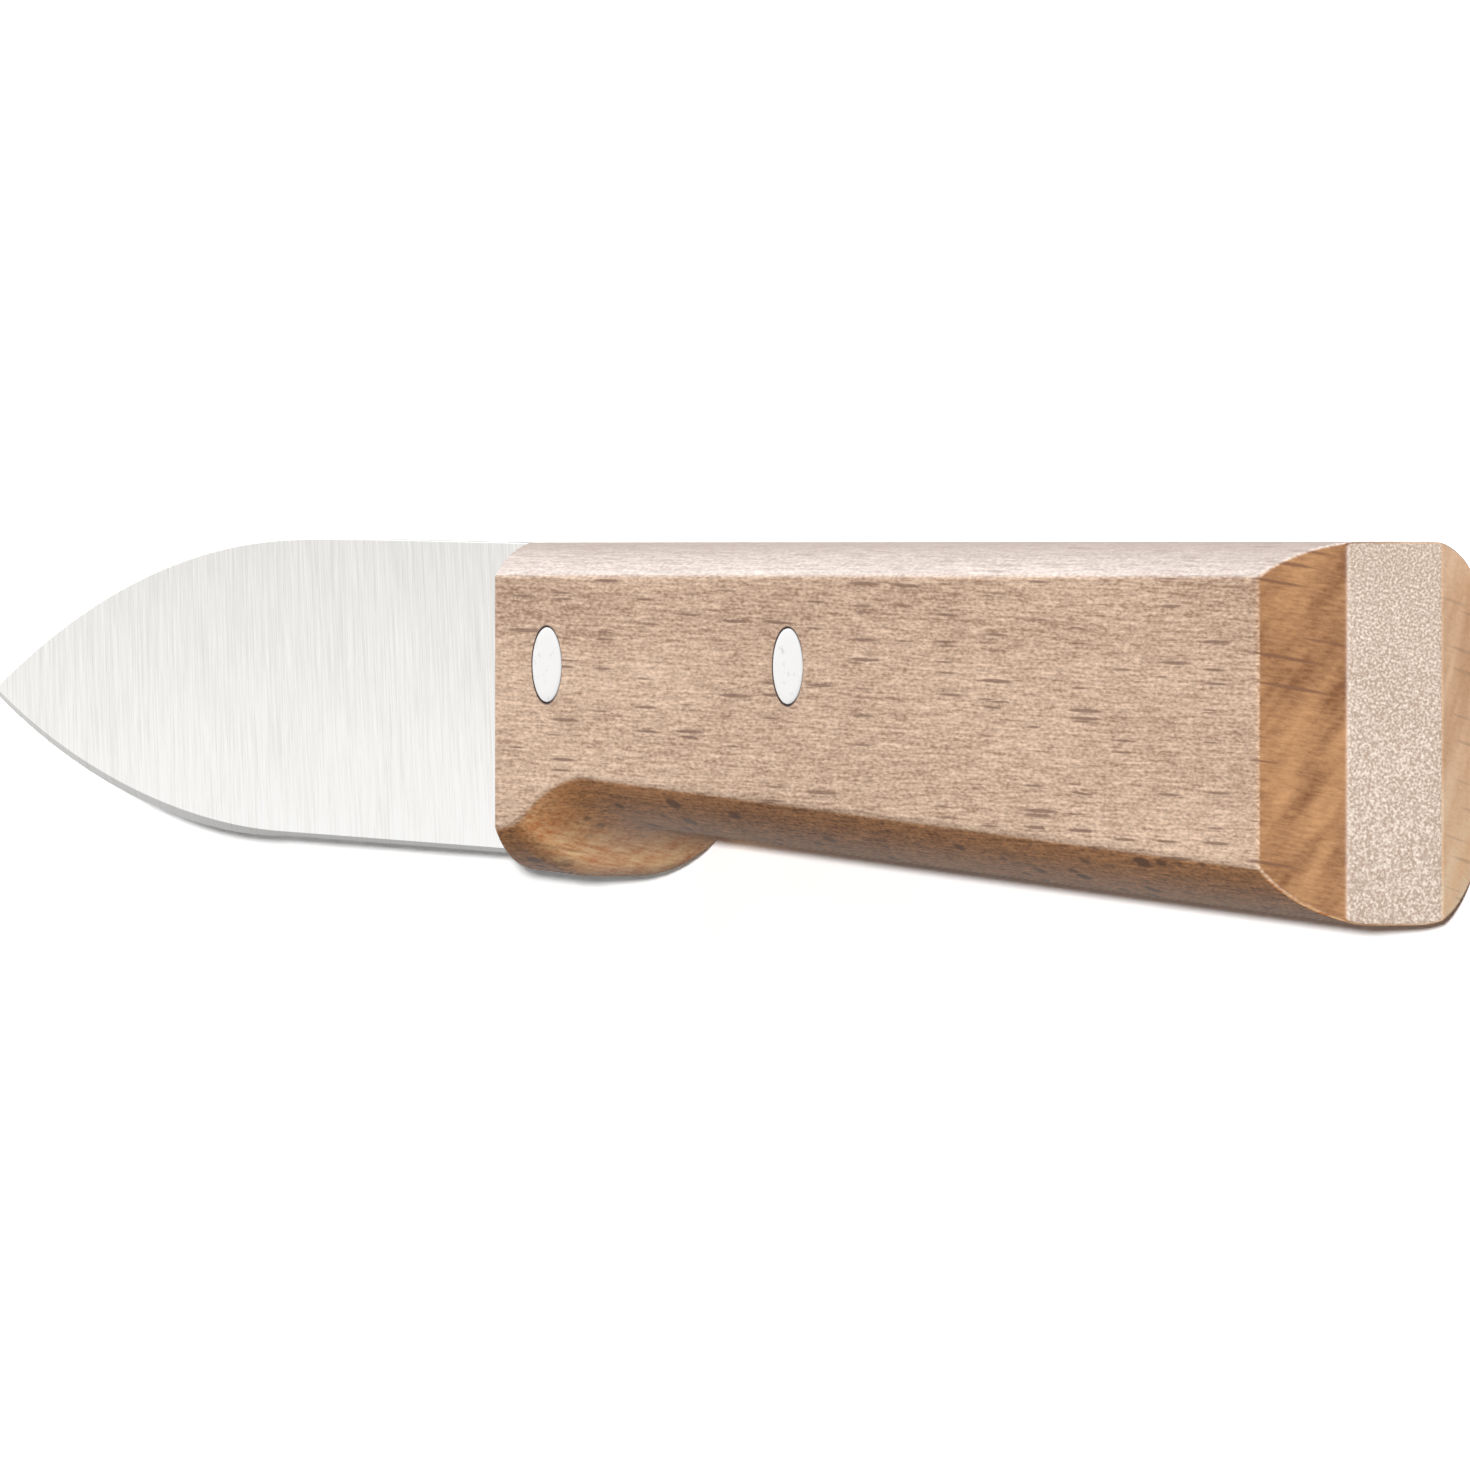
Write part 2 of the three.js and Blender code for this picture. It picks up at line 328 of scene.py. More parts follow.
# %% [markdown]
# The wood is drilled for the rivets and slotted for the tang with the boolean modifier, which cuts one
# mesh by another. This comes after the softening, so that the holes stay as crisp as drilled ones.

# %% Handle: rivet holes and mortise
TANG_HEIGHT = 9.0 * MM
TANG_PAST_RIVET = 8.0 * MM
TANG_CLEARANCE = 0.1 * MM
STOCK = 1.6 * MM
OVERSHOOT = 1.0 * MM
tang_end = rivet_xs[1] + TANG_PAST_RIVET


def add_tang(name, start_x, clearance):
    bpy.ops.object.select_all(action="DESELECT")
    length = tang_end + clearance - start_x
    bpy.ops.mesh.primitive_cube_add(
        size=1.0,
        location=(start_x + length / 2, rivet_y, MID_PLANE),
        scale=(length, TANG_HEIGHT + 2 * clearance, STOCK + 2 * clearance),
    )
    return start_piece(name)


def cut_away(piece, cutter):
    apply_modifier(piece, "BOOLEAN", operation="DIFFERENCE", solver="EXACT", object=cutter)
    bpy.data.objects.remove(cutter, do_unlink=True)


for x in rivet_xs:
    drill = add_pin("drill", RIVET_DIAMETER + 2 * RIVET_CLEARANCE, THICKNESS + 2 * OVERSHOOT, x)
    cut_away(handle, drill)
cut_away(handle, add_tang("chisel", -HANDLE_END - OVERSHOOT, TANG_CLEARANCE))
print("handle with holes:", len(handle.data.polygons), "faces")

# %% [markdown]
# The blade is leaf-shaped: the edge runs straight for about half its length, the spine bows up very
# slightly, and both then bend together to the tip. It is flat-ground from the spine to a narrow bevel
# at the edge. Its lines are drawn as Bezier curves, one each for spine, bevel shoulder and edge on
# either side, turned into edges, and bridged with faces. Curves give a long fair bow that moving single
# points would not. The values named EASE and PULL move the handles of the curves, so the line itself
# moves by less.

# %% Blade: its measures
BLADE_LENGTH = 79.0 * MM
EDGE_LAND = 0.04 * MM
BEVEL_SLOPE = math.tan(math.radians(17.5))
SPINE_DROP = 0.14 * MM
SPINE_RISE = 0.2 * MM
SPINE_CREST = 31.7 * MM
HEEL_DEPTH = 16.02 * MM
BELLY_DEPTH = 15.17 * MM
BELLY_PULL = 0.48 * MM
EDGE_STRAIGHT = 38.5 * MM
TIP_DROP = 7.83 * MM
TIP_BLUNT = 0.46 * MM
SPINE_TIP_ANGLE = math.radians(20.0)
EDGE_TIP_ANGLE = math.radians(20.9)
SPINE_EASE = 7.2 * MM
SPINE_TIP_EASE = 23.1 * MM
EDGE_EASE = 13.0 * MM
EDGE_TIP_EASE = 12.5 * MM
BEVEL_HEEL = 0.22 * MM
BEVEL_PULL = 0.61 * MM
BEVEL_TIP = 0.41 * MM
TIP_TAPER = 0.45
RICASSO = 1.5 * MM
PLUNGE = 5.0 * MM
CURVE_STEPS = 48
heel_x = -HANDLE_END - TANG_CLEARANCE
blade_length = BLADE_LENGTH - TANG_CLEARANCE
edge_slope = (BELLY_DEPTH - HEEL_DEPTH) / EDGE_STRAIGHT
print("blade:", round(blade_length / MM, 1), "mm long in front of its heel")

# %% [markdown]
# A Bezier curve runs through its knots, and each knot has two handles that pull the line towards them.
# Places on the blade are given as a smith would measure them: the distance from the heel, the depth
# below the handle's top line and half the thickness. One helper turns such a place into a point of the
# frame, one draws a line, and one joins knots by straight stretches, to be bent where the blade bends.

# %% Blade: helpers for its lines
PLACE, BACK, AHEAD = range(3)
THIRD = 1.0 / 3.0


def to_frame(place):
    distance, depth, half = place
    return Vector((heel_x - distance, SPINE_HEIGHT - depth, MID_PLANE + half))


def draw_line(name, knots):
    """A knot is a place and its two handles."""
    bpy.ops.object.select_all(action="DESELECT")
    bpy.ops.curve.primitive_bezier_curve_add(location=(0.0, 0.0, 0.0))
    line = bpy.context.object
    line.name = name
    line.data.resolution_u = CURVE_STEPS
    points = line.data.splines[0].bezier_points
    points.add(len(knots) - len(points))
    for point, (place, back, ahead) in zip(points, knots):
        point.handle_left_type = "FREE"
        point.handle_right_type = "FREE"
        point.co = to_frame(place)
        point.handle_left = to_frame(back)
        point.handle_right = to_frame(ahead)
    bpy.ops.object.convert(target="MESH")
    return bpy.context.object


def straight_knots(places):
    """Knots joined by straight stretches; each handle lies a third of the way to its neighbour."""
    vectors = [Vector(place) for place in places]
    knots = []
    for index, place in enumerate(vectors):
        before = vectors[max(index - 1, 0)]
        after = vectors[min(index + 1, len(vectors) - 1)]
        knots.append([place, place.lerp(before, THIRD), place.lerp(after, THIRD)])
    return knots


print("line helpers ready")

# %% [markdown]
# Three lines make one side: the spine, the shoulder of the bevel and the edge. Just in front of the
# handle the steel keeps its full thickness, and the grind takes a few millimetres to reach its depth,
# as a round belt wheel leaves it. The other side is the same with its thickness turned over.

# %% Blade: the lines of one side
def blade_side(side):
    stock = side * STOCK / 2
    grind_end = RICASSO + PLUNGE
    half_plunge = PLUNGE / 2

    def behind(bevel):
        return side * (EDGE_LAND / 2 + bevel * BEVEL_SLOPE)

    spine = straight_knots([
        (0.0, SPINE_DROP, stock),
        (RICASSO, SPINE_DROP * PLUNGE / grind_end, stock),
        (grind_end, 0.0, stock),
        (SPINE_CREST, -SPINE_RISE, stock),
        (blade_length, TIP_DROP - TIP_BLUNT / 2, behind(BEVEL_TIP)),
    ])
    crest_knot, tip_knot = spine[3:]
    crest_knot[BACK] = (SPINE_CREST - SPINE_EASE, -SPINE_RISE, stock)
    crest_knot[AHEAD] = (SPINE_CREST + SPINE_EASE, -SPINE_RISE, stock)
    spine_way = Vector((math.cos(SPINE_TIP_ANGLE), math.sin(SPINE_TIP_ANGLE), 0.0))
    tip_knot[BACK] = tip_knot[PLACE] - spine_way * SPINE_TIP_EASE
    tip_knot[BACK].z = behind(BEVEL_TIP) + (stock - behind(BEVEL_TIP)) * TIP_TAPER

    def lower_line(bevel_heel, bevel_pull, bevel_tip):
        def depth(distance, bevel=bevel_heel):
            return HEEL_DEPTH + edge_slope * distance - bevel

        ground = behind(bevel_heel)
        bowing = EDGE_STRAIGHT + EDGE_EASE
        knots = straight_knots([
            (0.0, depth(0.0), stock),
            (RICASSO, depth(RICASSO), stock),
            (grind_end, depth(grind_end), ground),
            (EDGE_STRAIGHT, depth(EDGE_STRAIGHT), ground),
            (blade_length, TIP_DROP + TIP_BLUNT / 2 - bevel_tip, behind(bevel_tip)),
        ])
        ricasso_knot, ground_knot, belly_knot, point_knot = knots[1:]
        ricasso_knot[AHEAD] = (RICASSO + half_plunge, depth(RICASSO + half_plunge), stock)
        ground_knot[BACK] = (grind_end - half_plunge, depth(grind_end - half_plunge), ground)
        belly_knot[AHEAD] = (bowing, depth(bowing, bevel_pull) + BELLY_PULL, behind(bevel_pull))
        edge_way = Vector((math.cos(EDGE_TIP_ANGLE), -math.sin(EDGE_TIP_ANGLE), 0.0))
        point_knot[BACK] = point_knot[PLACE] - edge_way * EDGE_TIP_EASE
        return knots

    shoulder = lower_line(BEVEL_HEEL, BEVEL_PULL, BEVEL_TIP)
    edge = lower_line(0.0, 0.0, 0.0)
    return [("spine", spine), ("shoulder", shoulder), ("edge", edge)]


near_lines = blade_side(1)
far_lines = blade_side(-1)
ring_lines = [draw_line(name, knots) for name, knots in near_lines + far_lines[::-1]]
line_points = len(ring_lines[0].data.vertices)
print("blade lines:", len(ring_lines), "of", line_points, "points")

# %% [markdown]
# Bridging lays a strip of faces between two lines that have the same number of points. Six strips go
# once round the blade, and one face closes each end. A single strip at a time keeps the lines in order.

# %% Blade: bridge the lines and close the ends
AT_END = 0.0001 * MM

bpy.ops.object.select_all(action="DESELECT")
for line in ring_lines:
    line.select_set(True)
bpy.context.view_layer.objects.active = ring_lines[0]
bpy.ops.object.join()
blade = bpy.context.object
blade.name = "steel_blade"
blade.data.name = "steel_blade"
line_count = len(ring_lines)


def open_edge_of(pair):
    def rule(edge):
        owners = {vert.index // line_points for vert in edge.verts}
        return len(edge.link_faces) < 2 and len(owners) == 1 and owners <= set(pair)

    return rule


edit()
for first in range(line_count):
    pick("edges", open_edge_of((first, (first + 1) % line_count)))
    bpy.ops.mesh.bridge_edge_loops()
for end_x in (heel_x, heel_x - blade_length):
    pick("edges", lambda edge: all(abs(vert.co.x - end_x) < AT_END for vert in edge.verts))
    bpy.ops.mesh.edge_face_add()
bpy.ops.mesh.select_all(action="SELECT")
bpy.ops.mesh.normals_make_consistent(inside=False)
leave_edit()
print("blade:", tuple(round(size / MM, 2) for size in blade.dimensions), "mm")

# %% [markdown]
# A real spine has its corners broken with a stone. A very narrow bevel does the same, and its fine
# bright line tells the eye how thick the steel is. The tang is the same sheet of steel, so the boolean
# modifier joins it to the blade, and then both rivet holes are drilled through it.

# %% Blade: soften the spine and join the tang
SPINE_SOFTENING = 0.06 * MM
FLAT_SIDE = 0.9
FACES_UP = 0.8


def spine_edge(edge):
    normals = [face.normal for face in edge.link_faces]
    has_side = max(abs(normal.z) for normal in normals) > FLAT_SIDE
    has_back = max(normal.y for normal in normals) > FACES_UP
    return has_side and has_back


edit()
pick("edges", spine_edge)
bpy.ops.mesh.bevel(offset=SPINE_SOFTENING, segments=2, profile=0.5)
leave_edit()
tang = add_tang("tang", heel_x - OVERSHOOT, 0.0)
apply_modifier(blade, "BOOLEAN", operation="UNION", solver="EXACT", object=tang)
bpy.data.objects.remove(tang, do_unlink=True)
for x in rivet_xs:
    cut_away(blade, add_pin("drill", RIVET_DIAMETER + 2 * RIVET_CLEARANCE, 2 * STOCK, x))
print("blade with tang:", len(blade.data.polygons), "faces")

# %% [markdown]
# Shading: a smooth face blends its normals with its neighbours', which suits the roundings and would
# bend the light on the flats. The weighted normal modifier lets the large flats keep their own normal.

# %% Smooth the shading
SMOOTH_WOOD = math.radians(41)
SMOOTH_STEEL = math.radians(10)
for piece, angle in (
    (handle, SMOOTH_WOOD), (blade, SMOOTH_STEEL), (rivet_front, SMOOTH_WOOD), (rivet_rear, SMOOTH_WOOD)
):
    select_only(piece)
    bpy.ops.object.shade_smooth_by_angle(angle=angle)
    apply_modifier(piece, "WEIGHTED_NORMAL", keep_sharp=True)
    print(piece.name, len(piece.data.vertices), "points")

# %% [markdown]
# Materials are made of nodes. Colours are written as sRGB hex values, as a picker shows them, and
# turned to linear light by one function. One more function adds a node, sets it and links it. Patterns
# are sized in millimetres: object coordinates are divided by the size of one spot of the pattern. A
# mix node has a set of sockets for each kind of data, so those for colours and numbers are named here.

# %% Helpers for materials
def colour(hex_code):
    channels = [int(hex_code[start:start + 2], 16) / 255 for start in (1, 3, 5)]
    linear = [c / 12.92 if c <= 0.04045 else ((c + 0.055) / 1.055) ** 2.4 for c in channels]
    return (*linear, 1.0)


def add_node(tree, kind, inputs, **settings):
    made = tree.nodes.new(kind)
    for name, value in settings.items():
        setattr(made, name, value)
    for socket, value in inputs.items():
        if isinstance(value, bpy.types.NodeSocket):
            tree.links.new(value, made.inputs[socket])
        else:
            made.inputs[socket].default_value = value
    return made


def start_material(name):
    material = bpy.data.materials.new(name)
    material.use_nodes = True
    material.node_tree.nodes.clear()
    return material, material.node_tree


def per_mm(x, y, z):
    return (1 / (x * MM), 1 / (y * MM), 1 / (z * MM))


def finish_material(tree, shader):
    add_node(tree, "ShaderNodeOutputMaterial", {"Surface": shader.outputs["BSDF"]})


MIX_A = 6
MIX_B = 7
MIX_RESULT = 2
NUMBER_A = 2
NUMBER_B = 3
print("material helpers ready")

# %% [markdown]
# Beech, sanded and thinly varnished. It is a pale pinkish brown with a fine sandy grain, and its mark is
# the ray: a thin ribbon of darker cells that stands across the trunk. Cut along the trunk, on the
# handle's sides, a ray is a short dark dash. Across the end grain it is a long thin line. A flat pattern
# would need a drawing of its own for every face, so this one fills space: flat ribbons give dashes and
# lines alike. The yearly rings are sheets in space too, and cross the rays. The fibres are drawn a
# little coarser than real ones, which would not show.

# %% Beech: patterns in space
RAY_LEAN = math.radians(12.0)
RING_LEAN = math.radians(28.0)
GRAIN_LEAN = math.radians(1.0)
FIBRE_SIZE = (0.5, 0.13, 0.13)
STREAK_SIZE = (3.0, 0.14, 0.14)
CLOUD_SIZE = (30.0, 4.0, 4.0)
FLAKE_SIZE = (0.6, 0.15, 1.2)
RING_SIZE = (40.0, 5.0, 1.1)
RAY_CELL = (5.5, 0.25, 5.0)
SPOT_CELL = (2.6, 0.9, 0.9)

beech, tree = start_material("beech_sanded_and_varnished")
coords = add_node(tree, "ShaderNodeTexCoord", {})
grain = add_node(tree, "ShaderNodeMapping", {
    "Vector": coords.outputs["Object"], "Rotation": (RAY_LEAN, 0.0, GRAIN_LEAN),
})
rings = add_node(tree, "ShaderNodeMapping", {
    "Vector": coords.outputs["Object"], "Rotation": (RING_LEAN, 0.0, GRAIN_LEAN),
})
spaces = {}
for name, source, size in (
    ("fibre", grain, FIBRE_SIZE),
    ("streak", grain, STREAK_SIZE),
    ("cloud", grain, CLOUD_SIZE),
    ("flake", grain, FLAKE_SIZE),
    ("ring", rings, RING_SIZE),
    ("ray", grain, RAY_CELL),
    ("spot", grain, SPOT_CELL),
):
    spaces[name] = add_node(tree, "ShaderNodeVectorMath", {
        0: source.outputs["Vector"], 1: per_mm(*size),
    }, operation="MULTIPLY").outputs[0]
noises = {}
for name in ("fibre", "streak", "cloud", "flake", "ring"):
    noises[name] = add_node(tree, "ShaderNodeTexNoise", {
        "Vector": spaces[name], "Scale": 1.0, "Detail": 2.0, "Roughness": 0.55,
    }).outputs["Fac"]
print("noises:", sorted(noises))

# %% [markdown]
# A Voronoi pattern fills space with cells around scattered points. In the stretched ray space a small
# ball round such a point is a ribbon. Each cell also has a chance value, and only the higher ones become
# rays, so rays are scattered and differ in size. The spots of the under side are made likewise.

# %% Beech: rays and spots
marks = {}
for name, share, radius, blur in (("ray", 0.55, 0.5, 0.2), ("spot", 0.75, 0.5, 0.2)):
    cells = add_node(tree, "ShaderNodeTexVoronoi", {"Vector": spaces[name], "Scale": 1.0})
    chance = add_node(tree, "ShaderNodeSeparateColor", {"Color": cells.outputs["Color"]})
    reach = add_node(tree, "ShaderNodeMapRange", {
        "Value": chance.outputs[0], "From Min": 1.0 - share, "From Max": 1.0,
        "To Min": 0.0, "To Max": radius,
    })
    inside = add_node(tree, "ShaderNodeMath", {
        0: reach.outputs[0], 1: cells.outputs["Distance"],
    }, operation="SUBTRACT")
    marks[name] = add_node(tree, "ShaderNodeMapRange", {
        "Value": inside.outputs[0], "From Min": 0.0, "From Max": blur, "To Min": 0.0, "To Max": 1.0,
    }, interpolation_type="SMOOTHSTEP").outputs[0]
print("marks:", sorted(marks))

# %% [markdown]
# How the wood looks depends on how the surface cuts it, and the surface's own direction tells that.
# Along the fibres it is sandy, and a little deeper in tone high on the sides. The rounded top is painted
# pale, a painted sheen, and its crown a little darker, where the painted sheen is weaker. The rounded
# under side is painted browner and darker, which is painted shade, and it is spotted. Cut across, the
# open pores drink varnish and turn orange brown, as on the chamfers. The chamfers are painted paler
# towards the table and paler still towards the under side: painted light. Cut at a slant, as in the
# hollow behind the guard, the wood is a mottled orange, and it is painted lighter there: painted light.
# The two sawn ends are painted pale with a painted sheen, and the sparkle of their open fibres is painted
# glints. A mask is a number from 0 to 1 that says how much of such a cut a point shows.

# %% Beech: where the surface cuts how
facing = add_node(tree, "ShaderNodeSeparateXYZ", {"Vector": coords.outputs["Normal"]})
place = add_node(tree, "ShaderNodeSeparateXYZ", {"Vector": coords.outputs["Object"]})
across = add_node(tree, "ShaderNodeMath", {0: facing.outputs["X"]}, operation="ABSOLUTE")
upright = add_node(tree, "ShaderNodeMath", {0: facing.outputs["Y"]}, operation="ABSOLUTE")
outward = add_node(tree, "ShaderNodeMath", {0: place.outputs["X"]}, operation="ABSOLUTE")
masks = {}
for name, value, low, high in (
    ("slant", across.outputs[0], 0.1, 0.4),
    ("across", across.outputs[0], 0.5, 0.66),
    # Near the table: where the far chamfers are painted paler, painted light.
    ("pale", place.outputs["Z"], 8.0 * MM, 2.5 * MM),
    # Low on the handle: where the far chamfers are painted paler still, painted light.
    ("painted_low_light", place.outputs["Y"], -3.0 * MM, -9.0 * MM),
    # The sawn ends: painted sheen and painted glints.
    ("sawn", outward.outputs[0], HANDLE_END - 0.08 * MM, HANDLE_END - 0.02 * MM),
    # Facing down: the under side gets painted shade here, and with the slant mask the hollow gets painted
    # light.
    ("under", facing.outputs["Y"], -0.3, -0.5),
    # Facing up: where the painted sheen of the rounded top is laid, weaker on the crown.
    ("top", facing.outputs["Y"], 0.3, 0.6),
    ("crown", facing.outputs["Y"], 0.85, 1.0),
    ("high", place.outputs["Y"], 0.0, 5.0 * MM),
    ("rounded", upright.outputs[0], 0.3, 0.6),
):
    masks[name] = add_node(tree, "ShaderNodeMapRange", {
        "Value": value, "From Min": low, "From Max": high, "To Min": 0.0, "To Max": 1.0,
    }).outputs[0]
straight = add_node(tree, "ShaderNodeMath", {0: 1.0, 1: masks["slant"]}, operation="SUBTRACT")
for name, first, second in (
    # The hollow behind the guard, where the slant colours lay painted light.
    ("hollow", masks["slant"], masks["under"]),
    ("spotty", straight.outputs[0], masks["under"]),
    # The far chamfers, where a veil of their painted light lies over the rays.
    ("far_end", masks["across"], masks["pale"]),
):
    masks[name] = add_node(tree, "ShaderNodeMath", {
        0: first, 1: second,
    }, operation="MULTIPLY").outputs[0]
print("masks:", sorted(masks))

# %% [markdown]
# The noises are added up, each with a weight, to one value for each kind of cut: 0 stands for its dark
# colour and 1 for its light one. A single noise looks like cloud, but a sum of fine and long ones looks
# like grain.

# %% Beech: the grain of each cut
DEEPER_HIGH_UP = -0.11

values = {}
for name, middle, parts in (
    ("along", 0.51, (("fibre", 1.6), ("streak", 1.3), ("cloud", 0.6))),
    ("slant", 0.5, (("ring", 1.4), ("flake", 1.8), ("fibre", 0.8))),
    ("across", 0.5, (("ring", 2.0), ("flake", 1.0), ("fibre", 0.5))),
    # On the sawn ends the strong fibre weight gives the painted glints.
    ("sawn", 0.3, (("fibre", 3.2), ("cloud", 0.3))),
):
    total = middle - sum(weight for part, weight in parts) / 2
    for part, weight in parts:
        total = add_node(tree, "ShaderNodeMath", {
            0: noises[part], 1: weight, 2: total,
        }, operation="MULTIPLY_ADD", use_clamp=False).outputs[0]
    values[name] = total
values["along"] = add_node(tree, "ShaderNodeMath", {
    0: masks["high"], 1: DEEPER_HIGH_UP, 2: values["along"],
}, operation="MULTIPLY_ADD").outputs[0]
print("grain of:", sorted(values))

# %% [markdown]
# Each cut has a dark and a light colour, mixed by its grain. A colour ramp could hold more steps, but
# two ends and a mix are enough for a wood as plain as beech.

# %% Beech: a colour for each cut
ALONG = (colour("#906A4E"), colour("#F2D2B6"))
# The under side's colours are darker and browner than the wood of the sides: painted shade.
UNDER_PAINTED_SHADE = (colour("#6B401E"), colour("#DC9D69"))
# The slant cut is orange from its grain, and its colours are painted much lighter: painted light.
SLANT_GRAIN_AND_PAINTED_LIGHT = (colour("#CE7C44"), colour("#FFD6A0"))
ACROSS = (colour("#764C2D"), colour("#BC8D62"))
# The far chamfers' colours are paler: painted light.
FAR_CHAMFER_PAINTED_LIGHT = (colour("#D7AB83"), colour("#F6D2AF"))
# Low on the far chamfers the colours are paler still: painted light.
LOW_CHAMFER_PAINTED_LIGHT = (colour("#F4C498"), colour("#FFEDCC"))
# The sawn ends' colours are pale and whitish: a painted sheen over end grain.
SAWN_END_PAINTED_SHEEN = (colour("#B39C8A"), colour("#F4E6D8"))
# The rounded top's colours are pale and whitish: painted sheen.
TOP_PAINTED_SHEEN = (colour("#C0AFA5"), colour("#F6ECE6"))

cuts = {}
# Painted light among these cuts: the top is painted sheen, the under side painted shade, the slant and
# the far chamfers' colours painted light, and the sawn ends painted sheen.
for name, value, (dark, light) in (
    ("along", values["along"], ALONG),
    ("top", values["along"], TOP_PAINTED_SHEEN),
    ("under", values["along"], UNDER_PAINTED_SHADE),
    ("slant", values["slant"], SLANT_GRAIN_AND_PAINTED_LIGHT),
    ("across", values["across"], ACROSS),
    ("pale", values["across"], FAR_CHAMFER_PAINTED_LIGHT),
    ("painted_low_light", values["across"], LOW_CHAMFER_PAINTED_LIGHT),
    ("sawn", values["sawn"], SAWN_END_PAINTED_SHEEN),
):
    cuts[name] = add_node(tree, "ShaderNodeMix", {
        0: value, MIX_A: dark, MIX_B: light,
    }, data_type="RGBA").outputs[MIX_RESULT]
print("cuts:", sorted(cuts))

# %% [markdown]
# The cuts are laid over one another like coats of paint, each one only where its mask shows it. Rays and
# spots lie over them, and the sawn ends over those. Rays are faint on the rounded edges, and a veil of
# the pale painted light of the far chamfers makes them faint there. One material for all of it keeps the
# handle one piece of wood.

# %% Beech: lay the cuts over one another
# The crown is painted a little darker than the rest of the top: a weaker painted sheen.
CROWN_PAINTED_SHEEN = colour("#C4AFA2")
RAY_COLOUR = colour("#734F38")
SPOT_COLOUR = colour("#573420")
# How much painted sheen the top and its crown get.
TOP_SHEEN_SHARE = 0.85
CROWN_SHEEN_SHARE = 0.6
RAY_SHARE = 0.8
ROUNDED_RAY_SHARE = 0.25
# How strongly the far chamfers' painted light veils their rays.
FAR_PAINTED_LIGHT_VEIL = 0.7
SPOT_SHARE = 0.8

ray_share = add_node(tree, "ShaderNodeMapRange", {
    "Value": masks["rounded"], "From Min": 0.0, "From Max": 1.0,
    "To Min": RAY_SHARE, "To Max": ROUNDED_RAY_SHARE,
})
shares = {}
for name, mask, share in (
    ("top", masks["top"], TOP_SHEEN_SHARE),
    ("crown", masks["crown"], CROWN_SHEEN_SHARE),
    ("ray", marks["ray"], ray_share.outputs[0]),
    ("veil", masks["far_end"], FAR_PAINTED_LIGHT_VEIL),
    ("spotty", masks["spotty"], SPOT_SHARE),
):
    shares[name] = add_node(tree, "ShaderNodeMath", {
        0: mask, 1: share,
    }, operation="MULTIPLY").outputs[0]
spots = add_node(tree, "ShaderNodeMath", {0: marks["spot"], 1: shares["spotty"]}, operation="MULTIPLY")
# Painted light on the far chamfers, paler still low down, over their grain.
far_grain_and_painted_light = add_node(tree, "ShaderNodeMix", {
    0: masks["painted_low_light"], MIX_A: cuts["pale"], MIX_B: cuts["painted_low_light"],
}, data_type="RGBA")
# End grain, with the painted light of the far chamfers mixed in.
end_grain_and_painted_light = add_node(tree, "ShaderNodeMix", {
    0: masks["pale"], MIX_A: cuts["across"], MIX_B: far_grain_and_painted_light.outputs[MIX_RESULT],
}, data_type="RGBA")
wood_colour = cuts["along"]
# Of these coats, the top and crown lay painted sheen, the under side painted shade, the hollow painted
# light, the end grain and the veil painted light on the far chamfers, and the sawn ends painted sheen.
for share, layer in (
    (shares["top"], cuts["top"]),
    (shares["crown"], CROWN_PAINTED_SHEEN),
    (masks["under"], cuts["under"]),
    (masks["hollow"], cuts["slant"]),
    (masks["across"], end_grain_and_painted_light.outputs[MIX_RESULT]),
    (shares["ray"], RAY_COLOUR),
    (shares["veil"], end_grain_and_painted_light.outputs[MIX_RESULT]),
    (spots.outputs[0], SPOT_COLOUR),
    (masks["sawn"], cuts["sawn"]),
):
    wood_colour = add_node(tree, "ShaderNodeMix", {
        0: share, MIX_A: wood_colour, MIX_B: layer,
    }, data_type="RGBA").outputs[MIX_RESULT]
print("shares:", sorted(shares))

# %% [markdown]
# Last comes a thin dark rim round each rivet, where dust gathers in the joint. The distance from the
# rivet's axis says where it is, so it needs no faces of its own. The varnish is thin, so the shader has
# a soft sheen, and a faint bump along the fibres breaks it up.

# %% Beech: rims and shader
RIM_COLOUR = colour("#3E281C")
RIM_WIDTH = 0.15 * MM

for x in rivet_xs:
    from_axis = add_node(tree, "ShaderNodeVectorMath", {
        0: coords.outputs["Object"], 1: (x, rivet_y, 0.0),
    }, operation="SUBTRACT")
    flat = add_node(tree, "ShaderNodeVectorMath", {
        0: from_axis.outputs[0], 1: (1.0, 1.0, 0.0),
    }, operation="MULTIPLY")
    distance = add_node(tree, "ShaderNodeVectorMath", {0: flat.outputs[0]}, operation="LENGTH")
    rim = add_node(tree, "ShaderNodeMapRange", {
        "Value": distance.outputs["Value"],
        "From Min": RIVET_DIAMETER / 2 + RIM_WIDTH, "From Max": RIVET_DIAMETER / 2 + RIM_WIDTH / 2,
        "To Min": 0.0, "To Max": 1.0,
    })
    wood_colour = add_node(tree, "ShaderNodeMix", {
        0: rim.outputs[0], MIX_A: wood_colour, MIX_B: RIM_COLOUR,
    }, data_type="RGBA").outputs[MIX_RESULT]
wood_bump = add_node(tree, "ShaderNodeBump", {
    "Height": noises["fibre"], "Strength": 0.2, "Distance": 0.03 * MM,
})
wood = add_node(tree, "ShaderNodeBsdfPrincipled", {
    "Base Color": wood_colour,
    "Roughness": 0.45,
    "IOR": 1.47,
    "Normal": wood_bump.outputs["Normal"],
})
finish_material(tree, wood)
print("beech:", len(tree.nodes), "nodes")

